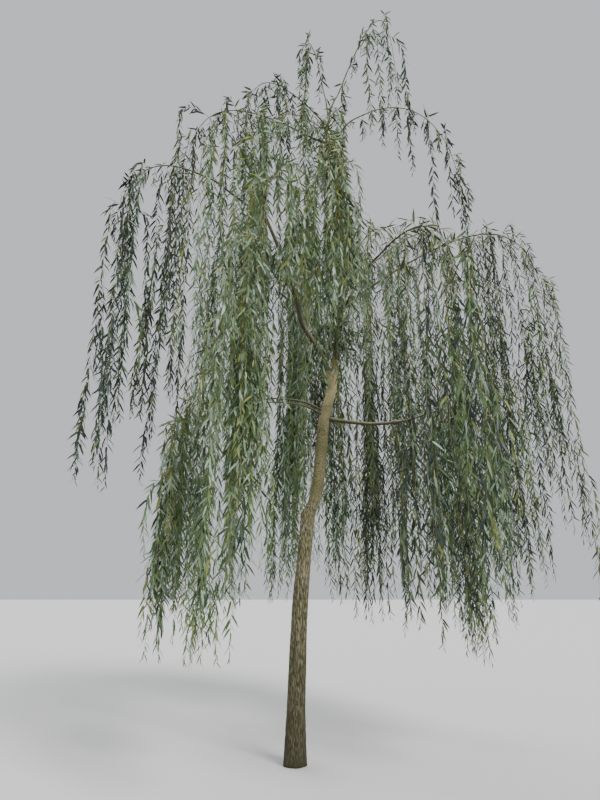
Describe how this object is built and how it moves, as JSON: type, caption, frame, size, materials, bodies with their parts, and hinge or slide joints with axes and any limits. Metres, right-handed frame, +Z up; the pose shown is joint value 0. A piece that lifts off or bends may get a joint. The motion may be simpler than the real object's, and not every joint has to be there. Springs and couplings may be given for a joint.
{
  "type": "weeping willow tree",
  "caption": "Young weeping willow with a leaning trunk, arching boughs and long curtains of hanging leafy twigs, rooted in level ground.",
  "frame": {"origin": "The middle of the flat cut at the foot of the trunk, at ground level.", "axes": "+Z is up, away from the ground. -Y is the front, the side that the picture shows. +X is to the right of it."},
  "size_m": [5.1053, 4.4468, 8.3286],
  "materials": {
    "trunk_bark": "matte",
    "bough_bark": "matte",
    "foliage": "satin"
  },
  "bodies": {
    "root": {"trunk": "trunk_bark", "leader": "bough_bark", "left_limb": "bough_bark", "bough_left_high": "bough_bark", "bough_left_crest": "bough_bark", "bough_left_small": "bough_bark", "bough_top_left": "bough_bark", "bough_right_crest": "bough_bark", "bough_right_mid": "bough_bark", "bough_right_long": "bough_bark", "bough_right_low": "bough_bark", "bough_left_low": "bough_bark", "bough_front_left": "bough_bark", "bough_front": "bough_bark", "bough_front_right": "bough_bark", "bough_back_right": "bough_bark", "bough_back": "bough_bark", "bough_back_left": "bough_bark", "bough_left_front_high": "bough_bark", "bough_back_high": "bough_bark", "bough_left_mid": "bough_bark", "bough_right_inner": "bough_bark", "mass_left_high": "foliage", "mass_left_crest": "foliage", "mass_left_small": "foliage", "mass_top_left": "foliage", "mass_right_crest": "foliage", "mass_right_mid": "foliage", "mass_right_long": "foliage", "mass_right_low": "foliage", "mass_left_low": "foliage", "mass_front_left": "foliage", "mass_front": "foliage", "mass_front_right": "foliage", "mass_back_right": "foliage", "mass_back": "foliage", "mass_back_left": "foliage", "mass_left_front_high": "foliage", "mass_back_high": "foliage", "mass_left_mid": "foliage", "mass_right_inner": "foliage", "mass_crown_top": "foliage", "mass_left_limb_top": "foliage"}
  },
  "joints": []
}
